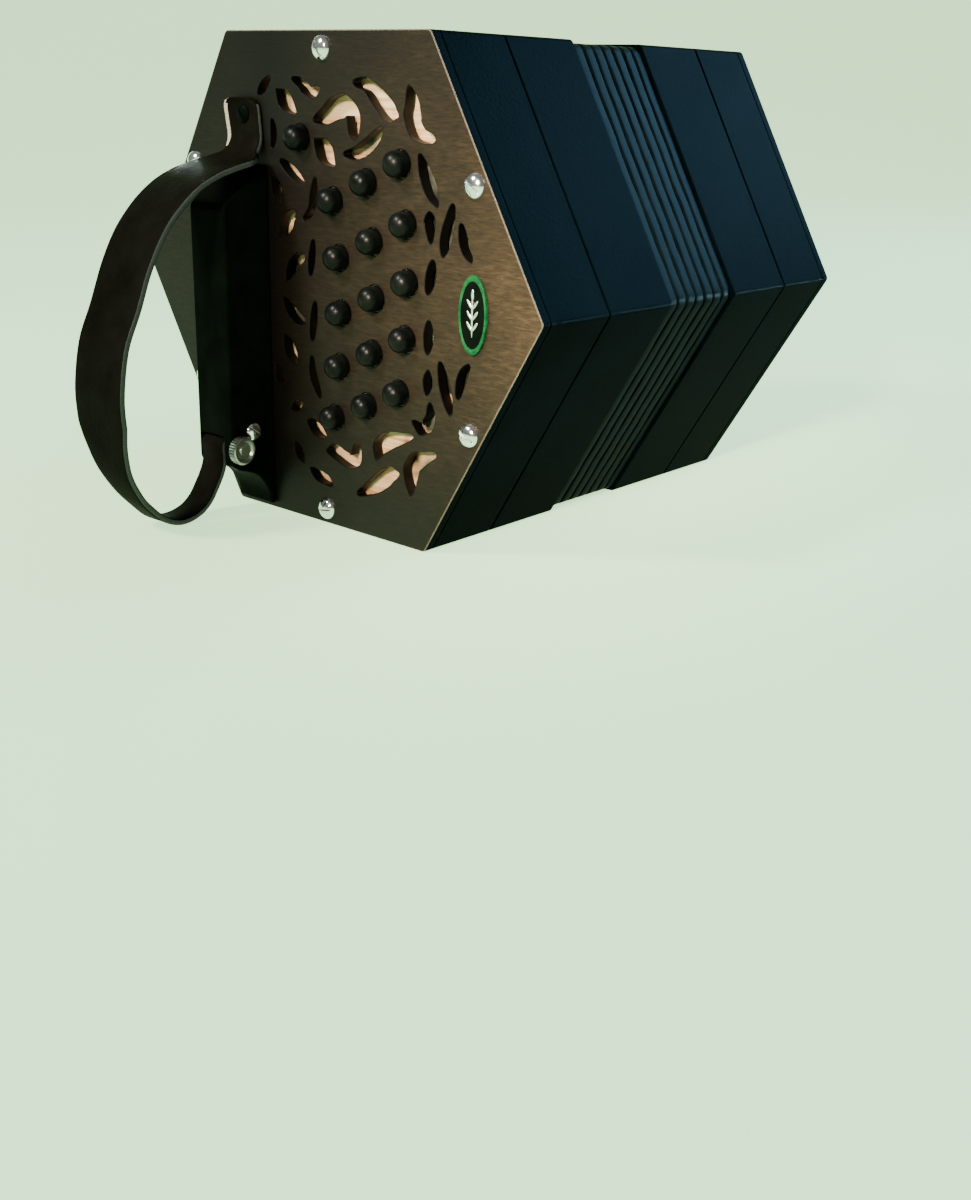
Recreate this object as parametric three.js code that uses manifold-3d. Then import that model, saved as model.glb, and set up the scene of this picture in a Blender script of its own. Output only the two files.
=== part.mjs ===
// A thirty-button concertina with hexagonal ends, built as separate pieces. Millimetres, +Z up.
// The bellows opens along X. The player's right-hand end is at -X and the left-hand end at +X.
// The hand rails are on the +Y side, the buttons on the -Y side, and the whole stands at z = 0.
import * as THREE from 'three';
import { mergeVertices } from 'three/addons/utils/BufferGeometryUtils.js';
import Module from 'manifold-3d';

const wasm = await Module();
wasm.setup();

// Overall size, with the bellows closed
const ACROSS_FLATS = 165;
const LENGTH = 180; // between the outer faces of the two end plates
const APOTHEM = ACROSS_FLATS / 2;
const CORNER_RADIUS = 2;

// Gaps between neighbours
const FIT_GAP = 0.3; // round a piece that sits in an opening
const FACE_GAP = 0.2; // between faces that are screwed or glued together

// One end, as depths inward from the outer face of its end plate
const PLATE_THICK = 4;
const BAFFLE_START = 5;
const BAFFLE_THICK = 1.2;
const BOX_END = 34;
const JOINT_GROOVE = 0.8; // dark line between the action box and the bellows frame
const FRAME_END = 70;
const WALL_THICK = 6;
const BOARD_THICK = 5;
const BOARD_START = BOX_END - BOARD_THICK;

// Reed pan, inside the bellows frame
const PAN_START = 35;
const PAN_WALL_END = 43;
const PAN_END = 48;
const PAN_APOTHEM = 75;
const CHAMBERS = 16;
const CHAMBER_WALL = 2;
const HUB_RADIUS = 14;

// Bellows
const FOLDS = 7;
const FOLD_PITCH = (LENGTH - 2 * FRAME_END) / FOLDS;
const FOLD_PEAK = APOTHEM - 1; // apothem of the outer edge of a fold
const FOLD_VALLEY = 62; // apothem of the inner edges of a fold
const CARD_THICK = 1.4;

// Buttons: three bowed columns of five
const COLUMNS = [
  { u: 8.4, v: -6.4 },
  { u: 24.1, v: 0.2 },
  { u: 39.1, v: 6.8 },
];
const COLUMN_STEPS = [-2, -1, 0, 1, 2];
const BUTTON_PITCH = 18.2;
const COLUMN_BOW = 0.9; // sideways shift of a button, times its step squared
const BUTTON_RADIUS = 4.1;
const BUTTON_PROUD = 6.2;
const BUTTON_DOME = 3.4;
const BUTTON_END = 12;
const GUIDE_RADIUS = 1.2;
const GUIDE_END = 31;
const PAD_RING = 58; // radius of the ring of air holes in the action board
const PAD_HOLE_RADIUS = 4;

// Air button, lever and pad
const AIR_U = -10.8;
const AIR_V = 49.2;
const AIR_PIN_END = 14;
const LEVER_START = 14.5;
const LEVER_THICK = 2;
const LEVER_WIDTH = 5;
const LEVER_PIVOT_U = -22;
const AIR_PAD_U = -41;
const AIR_PAD_RADIUS = 7.5;
const AIR_HOLE_RADIUS = 5.5;
const PIVOT_RADIUS = 1.2;

// Hand rail and strap, as heights out from the end plate and places up its face
const RAIL_U = -36.7;
const RAIL_WIDTH = 18.3;
const RAIL_HEIGHT = 20;
const RAIL_BOTTOM = -80.7;
const RAIL_TOP = 39.4;
const STRAP_WIDTH = 25.7;
const STRAP_THICK = 2.2;
const STRAP_REACH = 72; // more than the strap stands out from the plate
const TONGUE_START = 41.5;
const TONGUE_END = 61;
const TONGUE_WIDTH = 16.8; // where it leaves the strap
const TONGUE_LEAN = 3; // sideways shift of its upper end, away from the buttons
const TAPER_START = -42; // where the strap starts to narrow toward its tail
const TAIL_START = -71;
const TAIL_U = -38.2;
const TAIL_WIDTH = 11.6;
const TAIL_SLOT_OUT = 12; // floor of the slot in the rail's lower end that holds the tail
const THUMBSCREW_OUT = 17;
const THUMBSCREW_V = -57.5;
const SHANK_RADIUS = 1.4;

// Badge on the right-hand end plate
const BADGE_U = 67.9;
const BADGE_WIDTH = 11.5;
const BADGE_HEIGHT = 24.6;
const BADGE_THICK = 1.2;

// The pierced scrolls of an end plate. Each is a spine of [u, v, width] stations.
const UPPER_SCROLLS = [
  [[15.5, 66.8, 2.4], [21, 66, 4.6], [26.5, 61.5, 6.4], [31, 58.4, 6.2], [33, 57.8, 3]],
  [[39.2, 65.2, 2.6], [40.4, 60.5, 6.2], [40.8, 55.4, 7.2], [44.2, 52.3, 4.6], [48.8, 51.2, 2.6]],
  [[-3.2, 55.2, 2.6], [2, 56.8, 6], [8, 59.6, 7.4], [13.6, 58.4, 6], [14.6, 51.8, 4.6]],
  [[10.6, 45, 1.8], [15.5, 45.5, 4], [20.5, 47.8, 4.6], [24.5, 50.8, 4], [26.8, 53, 2]],
  [[-3.2, 48.2, 2.6], [0.6, 45.4, 8], [4.4, 42, 3]],
  [[-21.6, 63.4, 2.4], [-18.4, 60.8, 6.6], [-14, 57.6, 2.6]],
  [[-13.8, 67.4, 1.8], [-9.8, 66, 3.6], [-6, 63.4, 3.8], [-2, 64.6, 2]],
  [[-31, 63, 2.2], [-28.8, 65, 3.6], [-26, 67.6, 1.8]],
  [[-24.8, 54, 1.8], [-24.2, 50, 3.2], [-25, 46, 1.8]],
  [[-20.4, 41.2, 2.2], [-15.6, 38.4, 4.2], [-10.4, 35, 2.2]],
];
const LOWER_SCROLLS = [
  [[16.3, -68, 2.2], [21.5, -65.2, 4.6], [27, -61.6, 6.2], [31.6, -58.2, 5.4], [34.2, -57.6, 2.8]],
  [[51.4, -47.8, 2.2], [46.5, -50, 4.6], [42, -52.8, 7], [41, -57.6, 6], [41.2, -62.6, 2.4]],
  [[1, -55.6, 2.4], [5, -55.2, 6], [10, -57.2, 4.8], [14, -56.8, 5.4], [15.6, -51.4, 3.4]],
  [[25, -53.2, 2.6], [26.4, -49.4, 6], [30.8, -46.6, 5.8], [36, -45, 4], [41, -43.4, 1.8]],
  [[-9, -46.6, 2.4], [-5.2, -48.6, 5.4], [-1.2, -50.4, 2.4]],
  [[-7.8, -64, 2.2], [-4.4, -65.8, 4.2], [-1, -66.2, 4], [2.2, -67.8, 2]],
  [[-16, -56, 2.2], [-14.4, -58.8, 4.4], [-12.4, -61.4, 2.2]],
  [[-17.4, -43, 2], [-15.4, -42.2, 3.6], [-13.2, -40.8, 2]],
];
const FINGER_SIDE_SCROLLS = [
  [[44, 45.6, 2.2], [46.6, 40, 5.4], [49.4, 35, 5], [51, 32.2, 2.2]],
  [[48.3, 27.4, 4.6], [48.5, 24, 3.8], [48.8, 20.8, 1.8]],
  [[57.8, 31.6, 2.2], [56.4, 26, 4.4], [55, 21, 4.6], [54.2, 17.4, 2.2]],
  [[49.8, 13.8, 2.6], [49, 9.5, 4.4], [47.9, 5.2, 2.4]],
  [[65.6, 16.6, 1.8], [63.2, 20.2, 4], [61.6, 26, 2.2]],
  [[48.5, -5.2, 2.4], [48.4, -9.5, 4.4], [48, -13.8, 2.4]],
  [[48.4, -21.2, 2.4], [48.3, -24.2, 4.2], [47.9, -27.4, 2]],
  [[49.5, -31.6, 2.2], [49.6, -36, 4.4], [46.6, -40, 4.6], [42.4, -38.4, 2]],
  [[53.8, -17.6, 2.2], [55.2, -22.4, 4.4], [56.8, -27.6, 4.6], [58.2, -32.2, 2.2]],
  [[65.6, -16.4, 1.8], [63.2, -20.2, 4], [61.6, -26.4, 2.2]],
];
const RAIL_SIDE_SCROLLS = [
  [[-4, 36, 1.8], [-5, 31, 3.6], [-6, 26.4, 3.2], [-9.4, 23.4, 1.8]],
  [[-5.4, 15.8, 1.8], [-6.2, 10.8, 3.4], [-7, 5.4, 2]],
  [[-25.4, 35.4, 1.8], [-23.4, 32, 5], [-22, 28.4, 2.2]],
  [[-21.8, 17.2, 2.4], [-18.6, 20.8, 6.2], [-15.2, 24.6, 2.6]],
  [[-18.8, 2.6, 2], [-16.2, 6.8, 4.8], [-12.6, 9.4, 4], [-10.4, 10.4, 1.8]],
  [[-20.4, -5.2, 2], [-17.2, -8.6, 4.4], [-13.2, -10.8, 4], [-10.4, -11.2, 1.8]],
  [[-5, -5, 2], [-5.8, -11, 3.6], [-6.6, -16.8, 2]],
  [[-20.4, -18.2, 2.2], [-18.2, -22.4, 6], [-15.2, -26, 2.4]],
  [[-7, -23.8, 1.8], [-6.6, -28.6, 3.6], [-5, -33, 3.4], [-3.2, -36.6, 1.8]],
  [[-25.4, -29.2, 1.8], [-24, -32.6, 4.6], [-22.4, -36, 2]],
];
const SCROLLS = [...UPPER_SCROLLS, ...LOWER_SCROLLS, ...FINGER_SIDE_SCROLLS, ...RAIL_SIDE_SCROLLS];

// Middle line of the hand strap, as [height out, place up the plate], from its tail to its tongue
const STRAP_LINE = [
  [19.8, -57.5], [19.5, -61], [20.2, -65.4], [23.2, -71], [27.3, -76.6], [32.7, -80], [40, -81],
  [46.6, -78.5], [52, -73.8], [57.4, -67.8], [62.6, -59.3], [65.6, -50], [67.1, -40], [67.1, -30],
  [64.4, -16.2], [58.8, -3.7], [53.6, 8.3], [48.2, 18], [40.8, 26.4], [32.5, 32.8], [24.1, 36.8],
  [15.5, 39.2], [8, 41], [3.8, 43.4], [1.6, 48], [1.35, 54], [1.35, 61],
];
const STRAP_STATIONS = 34;

// Materials
function material(color, roughness, metalness = 0) {
  return new THREE.MeshStandardMaterial({ color, roughness, metalness });
}
const walnut = material(0x6f5238, 0.45);
const satinBlack = material(0x1b1c20, 0.42);
const glossBlack = material(0x0d0d0f, 0.12);
const paleWood = material(0xc9a679, 0.6);
const blackLeather = material(0x1a1a1c, 0.55);
const strapLeather = material(0x232224, 0.6);
const chrome = material(0xcfd2d4, 0.15, 1);
const brass = material(0xb08a45, 0.35, 1);
const greyFelt = material(0x8d8a80, 0.95);
const greenEnamel = material(0x1f6b3a, 0.25, 0.3);

function toSolid(geometry) {
  const bare = geometry.clone();
  bare.deleteAttribute('normal');
  bare.deleteAttribute('uv');
  const merged = mergeVertices(bare);
  const vertProperties = new Float32Array(merged.attributes.position.array);
  const triVerts = new Uint32Array(merged.index.array);
  return new wasm.Manifold(new wasm.Mesh({ numProp: 3, vertProperties, triVerts }));
}

function toGeometry(solid) {
  const { vertProperties, triVerts } = solid.getMesh();
  const geometry = new THREE.BufferGeometry();
  geometry.setAttribute('position', new THREE.BufferAttribute(vertProperties, 3));
  geometry.setIndex(new THREE.BufferAttribute(triVerts, 1));
  geometry.computeVertexNormals();
  return geometry;
}

function join(geometries) {
  return toGeometry(geometries.map(toSolid).reduce((whole, part) => whole.add(part)));
}

function cut(geometry, tools) {
  return toGeometry(tools.map(toSolid).reduce((rest, tool) => rest.subtract(tool), toSolid(geometry)));
}

function piece(name, geometry, finish) {
  const mesh = new THREE.Mesh(geometry, finish);
  mesh.name = name;
  return mesh;
}

function ellipse(x, y, radiusX, radiusY, sides) {
  return Array.from({ length: sides }, (_, i) => {
    const angle = (2 * Math.PI * i) / sides;
    return new THREE.Vector2(x + radiusX * Math.cos(angle), y + radiusY * Math.sin(angle));
  });
}

function circle(x, y, radius, sides) {
  return ellipse(x, y, radius, radius, sides);
}

// A hexagon with two corners on the x axis, each corner rounded in two steps
function hexagon(apothem, radius) {
  const reach = (apothem - radius) / Math.cos(Math.PI / 6);
  const points = [];
  for (let corner = 0; corner < 6; corner += 1) {
    const heading = (corner * Math.PI) / 3;
    for (const turn of [-1, 0, 1]) {
      const angle = heading + (turn * Math.PI) / 6;
      points.push(new THREE.Vector2(
        reach * Math.cos(heading) + radius * Math.cos(angle),
        reach * Math.sin(heading) + radius * Math.sin(angle),
      ));
    }
  }
  return points;
}

// A flat outline with holes, thickened between two depths
function slab(outline, holes, from, to) {
  const shape = new THREE.Shape(outline);
  shape.holes = holes.map((hole) => new THREE.Path(hole));
  const geometry = new THREE.ExtrudeGeometry(shape, { depth: to - from, bevelEnabled: false });
  return geometry.translate(0, 0, from);
}

// A turned piece on the depth axis, from [radius, depth] pairs
function turned(profile, sides) {
  const points = profile.map(([radius, depth]) => new THREE.Vector2(radius, depth));
  return new THREE.LatheGeometry(points, sides).rotateX(Math.PI / 2);
}

// A block centred at (x, y), thickened between two depths
function block(x, y, width, height, from, to) {
  return new THREE.BoxGeometry(width, height, to - from).translate(x, y, (from + to) / 2);
}

// A side outline of [height out, place up] pairs, thickened across the plate between two places
function acrossPlate(outline, from, to, hand) {
  const points = outline.map(([out, up]) => new THREE.Vector2(up, out));
  const geometry = slab(points, [], Math.min(hand * from, hand * to), Math.max(hand * from, hand * to));
  const upOutAcross = new THREE.Matrix4().makeBasis(
    new THREE.Vector3(0, 1, 0),
    new THREE.Vector3(0, 0, -1),
    new THREE.Vector3(-1, 0, 0),
  );
  return geometry.applyMatrix4(upOutAcross);
}

// A round bar or bore across the plate, on the axis of the strap's thumbscrew
function acrossAtScrew(radius, from, to, hand, sides) {
  const outline = circle(THUMBSCREW_OUT, THUMBSCREW_V, radius, sides).map(({ x, y }) => [x, y]);
  return acrossPlate(outline, from, to, hand);
}

// The outline of one scroll: its spine widened to both sides, with a tip at each end
function scroll(spine, hand) {
  const stations = spine.map(([u, v, width]) => new THREE.Vector3(-hand * u, v, width));
  const curve = new THREE.CatmullRomCurve3(stations);
  const steps = spine.length;
  const oneSide = [];
  const otherSide = [];
  for (let step = 0; step <= steps; step += 1) {
    const { x, y, z: width } = curve.getPoint(step / steps);
    const along = curve.getTangent(step / steps);
    along.setZ(0).normalize().multiplyScalar(width / 2);
    if (step === 0) oneSide.push(new THREE.Vector2(x - along.x, y - along.y));
    oneSide.push(new THREE.Vector2(x - along.y, y + along.x));
    otherSide.unshift(new THREE.Vector2(x + along.y, y - along.x));
    if (step === steps) oneSide.push(new THREE.Vector2(x + along.x, y + along.y));
  }
  return [...oneSide, ...otherSide];
}

// Places of the buttons on an end of the given hand (+1 right, -1 left)
function buttonPlaces(hand) {
  return COLUMNS.flatMap(({ u, v }) => COLUMN_STEPS.map((step) => ({
    x: -hand * (u - COLUMN_BOW * step * step),
    y: v + BUTTON_PITCH * step,
  })));
}

function endPlate(hand, hasAirButton) {
  const buttonHoles = buttonPlaces(hand).map(({ x, y }) => circle(x, y, BUTTON_RADIUS + FIT_GAP, 12));
  const airHole = hasAirButton ? [circle(-hand * AIR_U, AIR_V, BUTTON_RADIUS + FIT_GAP, 12)] : [];
  const scrolls = SCROLLS.map((spine) => scroll(spine, hand));
  return slab(hexagon(APOTHEM, CORNER_RADIUS), [...buttonHoles, ...airHole, ...scrolls], 0, PLATE_THICK);
}

// A thin sheet of pale wood close behind the scrolls, with loose holes for the buttons
function baffle(hand, hasAirButton) {
  const looseRadius = BUTTON_RADIUS + 2 * FIT_GAP;
  const holes = buttonPlaces(hand).map(({ x, y }) => circle(x, y, looseRadius, 10));
  if (hasAirButton) holes.push(circle(-hand * AIR_U, AIR_V, looseRadius, 10));
  const outline = hexagon(APOTHEM - WALL_THICK - FIT_GAP, CORNER_RADIUS);
  return slab(outline, holes, BAFFLE_START, BAFFLE_START + BAFFLE_THICK);
}

function hexagonalTube(from, to) {
  const inside = hexagon(APOTHEM - WALL_THICK, CORNER_RADIUS);
  return slab(hexagon(APOTHEM, CORNER_RADIUS), [inside], from, to);
}

// Angles of the pad holes, one for each reed chamber, without the place beside the air valve
function padAngles() {
  const step = (2 * Math.PI) / CHAMBERS;
  const airAngle = Math.atan2(AIR_V, -AIR_PAD_U);
  const angles = Array.from({ length: CHAMBERS }, (_, chamber) => (chamber + 0.5) * step);
  return angles.filter((angle) => Math.abs(angle - airAngle) > step / 2);
}

function actionBoard(hand, hasAirButton) {
  const guideHoles = buttonPlaces(hand).map(({ x, y }) => circle(x, y, GUIDE_RADIUS + FIT_GAP, 6));
  const padHoles = padAngles().map((angle) => (
    circle(hand * PAD_RING * Math.cos(angle), PAD_RING * Math.sin(angle), PAD_HOLE_RADIUS, 8)
  ));
  const airHole = hasAirButton ? [circle(-hand * AIR_PAD_U, AIR_V, AIR_HOLE_RADIUS, 12)] : [];
  const outline = hexagon(APOTHEM - WALL_THICK - FIT_GAP, CORNER_RADIUS);
  return slab(outline, [...guideHoles, ...padHoles, ...airHole], BOARD_START, BOX_END);
}

// A board with one reed slot per chamber, radial chamber walls, a rim and a round hub
function reedPan(hand) {
  const slotLength = 22;
  const slotWidth = 4;
  const slotRadius = 41;
  const wallReach = 68;
  const rimWall = 4;
  const board = slab(hexagon(PAN_APOTHEM, CORNER_RADIUS), [], PAN_WALL_END, PAN_END);
  const rimInside = hexagon(PAN_APOTHEM - rimWall, CORNER_RADIUS);
  const rim = slab(hexagon(PAN_APOTHEM, CORNER_RADIUS), [rimInside], PAN_START, PAN_WALL_END);
  const hubInside = circle(0, 0, HUB_RADIUS - rimWall, 12);
  const hub = slab(circle(0, 0, HUB_RADIUS, 12), [hubInside], PAN_START, PAN_WALL_END);
  const walls = [];
  for (let chamber = 0; chamber < CHAMBERS; chamber += 1) {
    const inner = HUB_RADIUS - rimWall / 2;
    const length = wallReach - inner;
    const wall = block(inner + length / 2, 0, length, CHAMBER_WALL, PAN_START, PAN_WALL_END);
    walls.push(wall.rotateZ((2 * Math.PI * chamber) / CHAMBERS));
  }
  const slots = padAngles().map((angle) => {
    const slot = block(slotRadius, 0, slotLength, slotWidth, PAN_WALL_END - 1, PAN_END + 1);
    return slot.rotateZ(hand > 0 ? angle : Math.PI - angle);
  });
  return cut(join([board, rim, hub, ...walls]), slots);
}

function handRail(hand) {
  const bottomLip = 2;
  const shoulder = -65;
  const topEdge = 28;
  const side = new THREE.Shape();
  side.moveTo(FACE_GAP, RAIL_BOTTOM);
  side.lineTo(bottomLip, RAIL_BOTTOM);
  side.quadraticCurveTo(6, shoulder - 4, RAIL_HEIGHT - 2, shoulder);
  side.lineTo(RAIL_HEIGHT, shoulder + 2);
  side.lineTo(RAIL_HEIGHT, topEdge - 2);
  side.lineTo(RAIL_HEIGHT - 2, topEdge);
  side.lineTo(bottomLip, RAIL_TOP);
  side.lineTo(FACE_GAP, RAIL_TOP);
  const outline = side.getPoints(6).map(({ x, y }) => [x, y]);
  const rail = acrossPlate(outline, RAIL_U - RAIL_WIDTH / 2, RAIL_U + RAIL_WIDTH / 2, hand);
  const slotTop = THUMBSCREW_V + SHANK_RADIUS + STRAP_THICK + 2 * FIT_GAP;
  const slotWidth = TAIL_WIDTH + 2 * FIT_GAP;
  const slotHeight = slotTop - RAIL_BOTTOM;
  const slot = block(-hand * TAIL_U, slotTop - slotHeight / 2, slotWidth, slotHeight,
    -RAIL_HEIGHT - 1, -TAIL_SLOT_OUT);
  const bore = acrossAtScrew(SHANK_RADIUS + FIT_GAP, RAIL_U - RAIL_WIDTH, RAIL_U + RAIL_WIDTH, hand, 12);
  return cut(rail, [slot, bore]);
}

// What is cut away along one edge of the strap, beside its tongue, its taper and its tail
function strapTrims(hand, sideways) {
  const centre = -hand * RAIL_U;
  const beyond = centre + sideways * STRAP_WIDTH;
  const tailEdge = -hand * TAIL_U + (sideways * TAIL_WIDTH) / 2;
  const trim = (corners, reach) => {
    const outline = corners.map(([x, y]) => new THREE.Vector2(x, y));
    return slab(outline, [], -reach, STRAP_THICK);
  };
  const besideTongue = trim([
    [centre + (sideways * TONGUE_WIDTH) / 2, TONGUE_START],
    [centre + hand * TONGUE_LEAN + (sideways * RAIL_WIDTH) / 2, TONGUE_END + 1],
    [beyond, TONGUE_END + 1],
    [beyond, TONGUE_START],
  ], 2 * STRAP_THICK);
  const besideTaper = trim([
    [centre + (sideways * STRAP_WIDTH) / 2, TAPER_START],
    [tailEdge, TAIL_START],
    [tailEdge, -APOTHEM],
    [beyond, -APOTHEM],
    [beyond, TAPER_START],
  ], STRAP_REACH);
  const besideTail = trim([
    [tailEdge, THUMBSCREW_V + 2 * STRAP_THICK],
    [tailEdge, -APOTHEM],
    [beyond, -APOTHEM],
    [beyond, THUMBSCREW_V + 2 * STRAP_THICK],
  ], 2 * RAIL_HEIGHT);
  return [besideTongue, besideTaper, besideTail];
}

// A band along the strap's middle line, with an eye round the thumbscrew at its lower end
function handStrap(hand) {
  const middle = new THREE.SplineCurve(STRAP_LINE.map(([out, up]) => new THREE.Vector2(out, up)));
  const faceOut = [];
  const faceIn = [];
  for (let station = 0; station <= STRAP_STATIONS; station += 1) {
    const { x: out, y: up } = middle.getPointAt(station / STRAP_STATIONS);
    const along = middle.getTangentAt(station / STRAP_STATIONS).multiplyScalar(STRAP_THICK / 2);
    faceOut.push([out - along.y, up + along.x]);
    faceIn.unshift([out + along.y, up - along.x]);
  }
  const halfWidth = STRAP_WIDTH / 2;
  const band = acrossPlate([...faceOut, ...faceIn], RAIL_U - halfWidth, RAIL_U + halfWidth, hand);
  const boreRadius = SHANK_RADIUS + FIT_GAP;
  const tailFrom = TAIL_U - TAIL_WIDTH / 2;
  const eye = acrossAtScrew(boreRadius + STRAP_THICK, tailFrom, tailFrom + TAIL_WIDTH, hand, 16);
  const bore = acrossAtScrew(boreRadius, tailFrom - 1, tailFrom + TAIL_WIDTH + 1, hand, 12);
  const trimmed = cut(band, [-1, 1].flatMap((sideways) => strapTrims(hand, sideways)));
  return cut(join([trimmed, eye]), [bore]);
}

// The thumbscrew on its own axis, from its head to the end of its shank; zero is the side of the rail
function strapThumbscrew(hand) {
  const headRadius = 5.2;
  const headHeight = 3.4;
  const rimHeight = 0.8;
  const headStart = -FACE_GAP - headHeight;
  const shankEnd = RAIL_WIDTH - FACE_GAP;
  const screw = turned([
    [0, headStart],
    [headRadius * 0.85, headStart],
    [headRadius, headStart + rimHeight],
    [headRadius, -FACE_GAP],
    [SHANK_RADIUS, -FACE_GAP],
    [SHANK_RADIUS, shankEnd],
    [0, shankEnd],
  ], 18);
  return screw.rotateY((hand * Math.PI) / 2);
}

// A domed button on the depth axis, narrowed to a pin that ends at the given depth
function button(pinEnd) {
  return turned([
    [0, -BUTTON_PROUD],
    [BUTTON_RADIUS * 0.7, -BUTTON_PROUD + BUTTON_DOME * 0.29],
    [BUTTON_RADIUS, -BUTTON_PROUD + BUTTON_DOME * 0.85],
    [BUTTON_RADIUS, BUTTON_END],
    [GUIDE_RADIUS, BUTTON_END],
    [GUIDE_RADIUS, pinEnd],
    [0, pinEnd],
  ], 10);
}

// The rocking lever under the air button, with its cross pin and the stub that carries the pad
function airLever() {
  const reach = -AIR_PAD_U + 3;
  const start = -AIR_U - 4;
  const pinLength = 9;
  const stubEnd = 25.8;
  const middle = (start + reach) / 2;
  const bar = block(middle, AIR_V, reach - start, LEVER_WIDTH, LEVER_START, LEVER_START + LEVER_THICK);
  const pin = new THREE.CylinderGeometry(PIVOT_RADIUS, PIVOT_RADIUS, pinLength, 10);
  pin.translate(-LEVER_PIVOT_U, AIR_V, LEVER_START + LEVER_THICK / 2);
  const stub = slab(circle(-AIR_PAD_U, AIR_V, 2, 10), [], LEVER_START + LEVER_THICK / 2, stubEnd);
  return join([bar, pin, stub]);
}

function airPad() {
  return slab(circle(-AIR_PAD_U, AIR_V, AIR_PAD_RADIUS, 16), [], 26, BOARD_START - FIT_GAP);
}

// A forked post on the action board: a foot and two cheeks bored for the lever's cross pin
function airPost() {
  const footLength = 8;
  const footStart = 25;
  const cheekThick = 1.5;
  const cheekInset = LEVER_WIDTH / 2 + FIT_GAP;
  const cheekStart = LEVER_START - 2;
  const width = 2 * (cheekInset + cheekThick);
  const x = -LEVER_PIVOT_U;
  const foot = block(x, AIR_V, footLength, width, footStart, BOARD_START - FACE_GAP);
  const cheeks = [-1, 1].map((side) => block(x, AIR_V + side * (cheekInset + cheekThick / 2),
    footLength * 0.75, cheekThick, cheekStart, footStart + 1));
  const bore = new THREE.CylinderGeometry(PIVOT_RADIUS + FIT_GAP, PIVOT_RADIUS + FIT_GAP, 2 * width, 10);
  bore.translate(x, AIR_V, LEVER_START + LEVER_THICK / 2);
  return cut(join([foot, ...cheeks]), [bore]);
}

function badge() {
  const outline = ellipse(-BADGE_U, 0, BADGE_WIDTH / 2, BADGE_HEIGHT / 2, 28);
  return slab(outline, [], -FACE_GAP - BADGE_THICK, -FACE_GAP);
}

// One end of the instrument. Its own z axis is depth, inward from the outer face of the end plate.
function instrumentEnd(side, hand) {
  const isRight = hand > 0;
  const end = new THREE.Group();
  end.add(piece(`${side}_end_plate`, endPlate(hand, isRight), walnut));
  end.add(piece(`${side}_baffle`, baffle(hand, isRight), paleWood));
  end.add(piece(`${side}_action_box`, hexagonalTube(PLATE_THICK + FACE_GAP, BOX_END), satinBlack));
  end.add(piece(`${side}_action_board`, actionBoard(hand, isRight), paleWood));
  end.add(piece(`${side}_reed_pan`, reedPan(hand), paleWood));
  end.add(piece(`${side}_bellows_frame`, hexagonalTube(BOX_END + JOINT_GROOVE, FRAME_END), satinBlack));
  end.add(piece(`${side}_hand_rail`, handRail(hand), glossBlack));
  end.add(piece(`${side}_hand_strap`, handStrap(hand), strapLeather));

  const thumbscrew = piece(`${side}_strap_thumbscrew`, strapThumbscrew(hand), chrome);
  thumbscrew.position.set(-hand * (RAIL_U + RAIL_WIDTH / 2), THUMBSCREW_V, -THUMBSCREW_OUT);
  end.add(thumbscrew);

  buttonPlaces(hand).forEach(({ x, y }, index) => {
    const key = piece(`${side}_button_${index + 1}`, button(GUIDE_END), glossBlack);
    key.position.set(x, y, 0);
    end.add(key);
  });

  if (isRight) {
    const airKey = piece('right_air_button', button(AIR_PIN_END), glossBlack);
    airKey.position.set(-AIR_U, AIR_V, 0);
    end.add(airKey);
    end.add(piece('right_air_lever', airLever(), brass));
    end.add(piece('right_air_pad', airPad(), greyFelt));
    end.add(piece('right_air_post', airPost(), brass));
    end.add(piece('right_badge', badge(), greenEnamel));
  }
  return end;
}

// Turns an end so that its depth axis runs inward along X and its y axis is world up
function placeEnd(end, hand) {
  const turn = new THREE.Matrix4().makeBasis(
    new THREE.Vector3(0, hand, 0),
    new THREE.Vector3(0, 0, 1),
    new THREE.Vector3(hand, 0, 0),
  );
  end.quaternion.setFromRotationMatrix(turn);
  end.position.set((-hand * LENGTH) / 2, 0, APOTHEM);
  return end;
}

// One fold of the bellows: a hexagonal ring of V section, open toward the inside
function bellowsFold() {
  const half = (FOLD_PITCH - FIT_GAP) / 2;
  const peakHalf = 0.9;
  const toCorner = 1 / Math.cos(Math.PI / 6);
  const section = [
    [FOLD_PEAK, -peakHalf],
    [FOLD_PEAK, peakHalf],
    [FOLD_VALLEY, half],
    [FOLD_VALLEY, half - CARD_THICK],
    [FOLD_PEAK - 2.5, 0],
    [FOLD_VALLEY, CARD_THICK - half],
    [FOLD_VALLEY, -half],
    [FOLD_PEAK, -peakHalf],
  ];
  return turned(section.map(([apothem, along]) => [apothem * toCorner, along]), 6);
}

const concertina = new THREE.Group();
concertina.add(placeEnd(instrumentEnd('right', 1), 1));
concertina.add(placeEnd(instrumentEnd('left', -1), -1));

for (let index = 0; index < FOLDS; index += 1) {
  const fold = piece(`bellows_fold_${index + 1}`, bellowsFold(), blackLeather);
  fold.rotation.y = Math.PI / 2;
  fold.position.set((index - (FOLDS - 1) / 2) * FOLD_PITCH, 0, APOTHEM);
  concertina.add(fold);
}

export default concertina;
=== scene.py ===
# A hexagonal thirty-button concertina, closed, standing on the lower flats of its two ends
import math
import random

import bmesh
import bpy
from mathutils import Matrix, Vector, noise


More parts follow.
